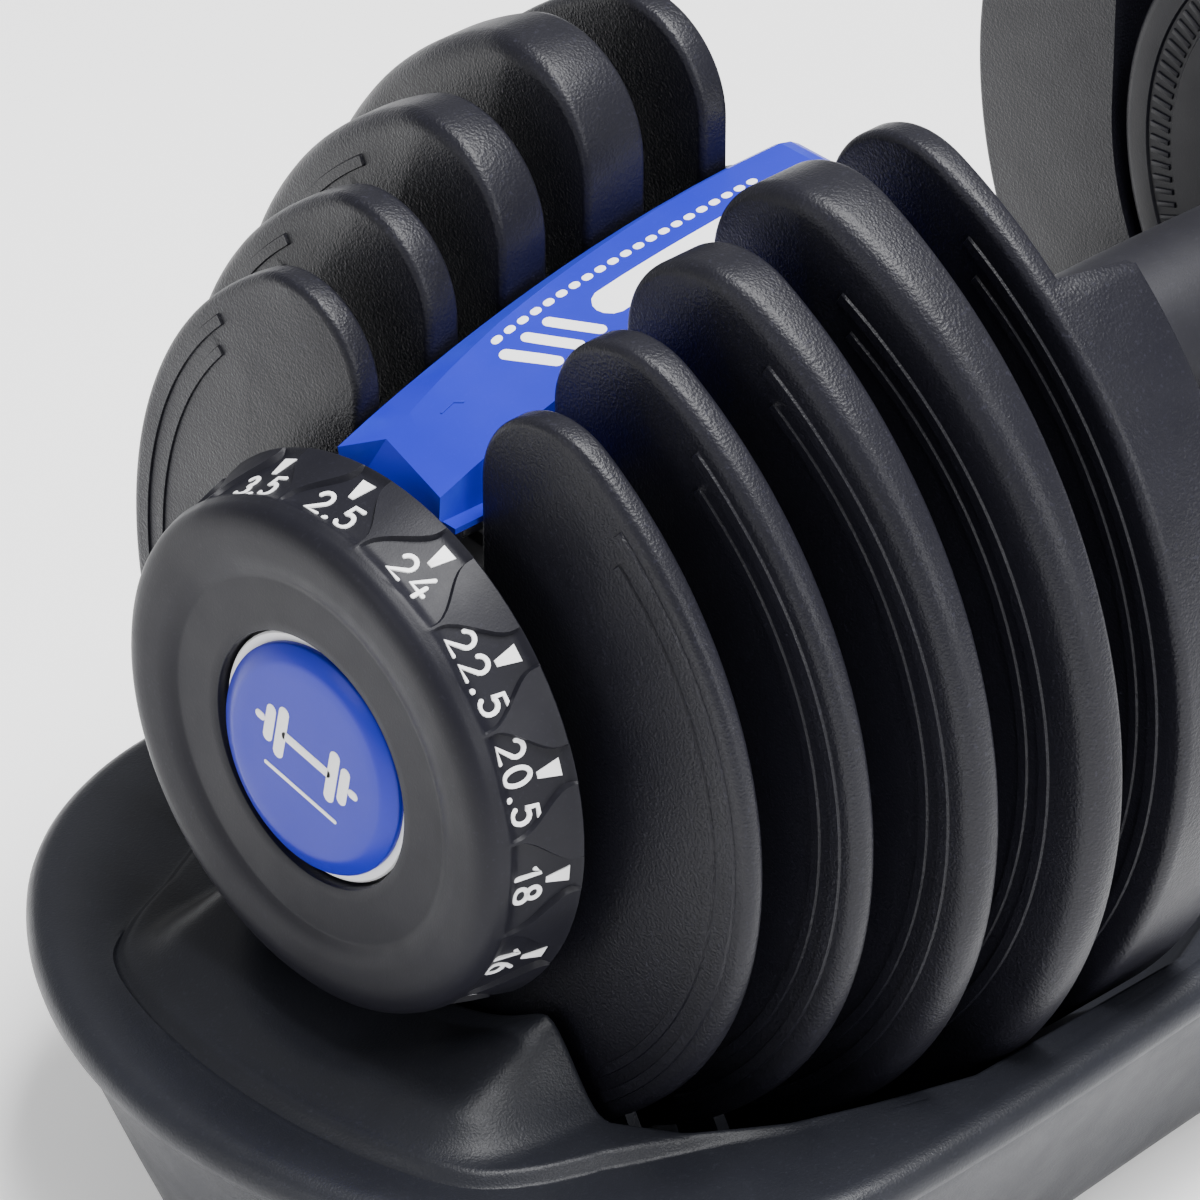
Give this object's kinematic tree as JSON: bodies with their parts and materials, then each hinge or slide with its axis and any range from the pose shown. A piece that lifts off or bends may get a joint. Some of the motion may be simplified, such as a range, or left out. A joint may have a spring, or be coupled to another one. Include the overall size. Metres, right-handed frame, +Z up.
{
  "type": "adjustable dumbbell",
  "caption": "Adjustable dumbbell with selector dials at both ends, slotted weight plates, a gripping handle and the storage tray that it docks in.",
  "frame": {"origin": "on the floor, under the middle of the object, which stands on its feet", "axes": "+X along the handle's axis, +Y across it, +Z up"},
  "size_m": [0.457, 0.205, 0.2101],
  "materials": {
    "plate_coat": "matte",
    "base_plastic": "matte",
    "handle_plastic": "matte",
    "dial_rubber": "matte",
    "grip_rubber": "matte",
    "foot_rubber": "matte",
    "blue_plastic": "satin",
    "white_plastic": "satin",
    "selector_plastic": "satin",
    "steel": "satin",
    "zinc_plate": "satin"
  },
  "bodies": {
    "base": {"base_tray": "base_plastic", "base_skirt": "base_plastic", "base_bottom": "base_plastic", "base_feet": "foot_rubber", "base_screws": "steel"},
    "handle": {"handle_tube": "steel", "grip_sleeve": "grip_rubber", "axle_rod": "steel", "axle_nuts": "steel", "cover_screws": "steel", "inner_cap_left": "handle_plastic", "inner_cap_right": "handle_plastic", "top_cover_left": "blue_plastic", "top_cover_right": "blue_plastic", "bridge_bar_left": "steel", "bridge_bar_right": "steel", "end_support_left": "handle_plastic", "end_support_right": "handle_plastic", "lock_spring_left": "steel", "lock_spring_right": "steel"},
    "selector_left": {"dial_left": "dial_rubber", "dial_insert_left": "white_plastic", "dial_cap_left": "blue_plastic", "index_gear_left": "zinc_plate", "selector_hub_left": "selector_plastic", "selector_disc_left_1": "selector_plastic", "selector_disc_left_2": "selector_plastic", "selector_disc_left_3": "selector_plastic", "selector_disc_left_4": "selector_plastic", "selector_disc_left_5": "selector_plastic"},
    "lock_left": {"lock_bar_left": "zinc_plate"},
    "weight_left_1": {"plate_left_1": "plate_coat"},
    "weight_left_2": {"plate_left_2": "plate_coat"},
    "weight_left_3": {"plate_left_3": "plate_coat"},
    "weight_left_4": {"plate_left_4": "plate_coat"},
    "weight_left_5": {"plate_left_5": "plate_coat"},
    "selector_right": {"dial_right": "dial_rubber", "dial_insert_right": "white_plastic", "dial_cap_right": "blue_plastic", "index_gear_right": "zinc_plate", "selector_hub_right": "selector_plastic", "selector_disc_right_1": "selector_plastic", "selector_disc_right_2": "selector_plastic", "selector_disc_right_3": "selector_plastic", "selector_disc_right_4": "selector_plastic", "selector_disc_right_5": "selector_plastic"},
    "lock_right": {"lock_bar_right": "zinc_plate"},
    "weight_right_1": {"plate_right_1": "plate_coat"},
    "weight_right_2": {"plate_right_2": "plate_coat"},
    "weight_right_3": {"plate_right_3": "plate_coat"},
    "weight_right_4": {"plate_right_4": "plate_coat"},
    "weight_right_5": {"plate_right_5": "plate_coat"}
  },
  "joints": [
    {"name": "handle_lift", "type": "slide", "parent": "base", "child": "handle", "axis": [0, 0, 1], "range_m": [0, 0.18]},
    {"name": "dial_left_turn", "type": "hinge", "parent": "handle", "child": "selector_left", "pos_m": [-0.1975, 0, 0.115], "axis": [1, 0, 0], "range_deg": [0, 336]},
    {"name": "lock_left_drop", "type": "slide", "parent": "handle", "child": "lock_left", "axis": [0, 0, 1], "range_m": [-0.0054, 0], "deforming": ["lock_spring_left"]},
    {"name": "weight_left_1_play", "type": "slide", "parent": "base", "child": "weight_left_1", "axis": [0, 0, 1], "range_m": [0, 0.004]},
    {"name": "weight_left_2_play", "type": "slide", "parent": "base", "child": "weight_left_2", "axis": [0, 0, 1], "range_m": [0, 0.004]},
    {"name": "weight_left_3_play", "type": "slide", "parent": "base", "child": "weight_left_3", "axis": [0, 0, 1], "range_m": [0, 0.004]},
    {"name": "weight_left_4_play", "type": "slide", "parent": "base", "child": "weight_left_4", "axis": [0, 0, 1], "range_m": [0, 0.004]},
    {"name": "weight_left_5_play", "type": "slide", "parent": "base", "child": "weight_left_5", "axis": [0, 0, 1], "range_m": [0, 0.002]},
    {"name": "dial_right_turn", "type": "hinge", "parent": "handle", "child": "selector_right", "pos_m": [0.1975, 0, 0.115], "axis": [-1, 0, 0], "range_deg": [0, 336]},
    {"name": "lock_right_drop", "type": "slide", "parent": "handle", "child": "lock_right", "axis": [0, 0, 1], "range_m": [-0.0054, 0], "deforming": ["lock_spring_right"]},
    {"name": "weight_right_1_play", "type": "slide", "parent": "base", "child": "weight_right_1", "axis": [0, 0, 1], "range_m": [0, 0.004]},
    {"name": "weight_right_2_play", "type": "slide", "parent": "base", "child": "weight_right_2", "axis": [0, 0, 1], "range_m": [0, 0.004]},
    {"name": "weight_right_3_play", "type": "slide", "parent": "base", "child": "weight_right_3", "axis": [0, 0, 1], "range_m": [0, 0.004]},
    {"name": "weight_right_4_play", "type": "slide", "parent": "base", "child": "weight_right_4", "axis": [0, 0, 1], "range_m": [0, 0.004]},
    {"name": "weight_right_5_play", "type": "slide", "parent": "base", "child": "weight_right_5", "axis": [0, 0, 1], "range_m": [0, 0.002]}
  ],
  "couplings": [
    {"joint": "lock_left_drop", "follows": "handle_lift", "ratio": -0.03},
    {"joint": "lock_right_drop", "follows": "handle_lift", "ratio": -0.03}
  ]
}
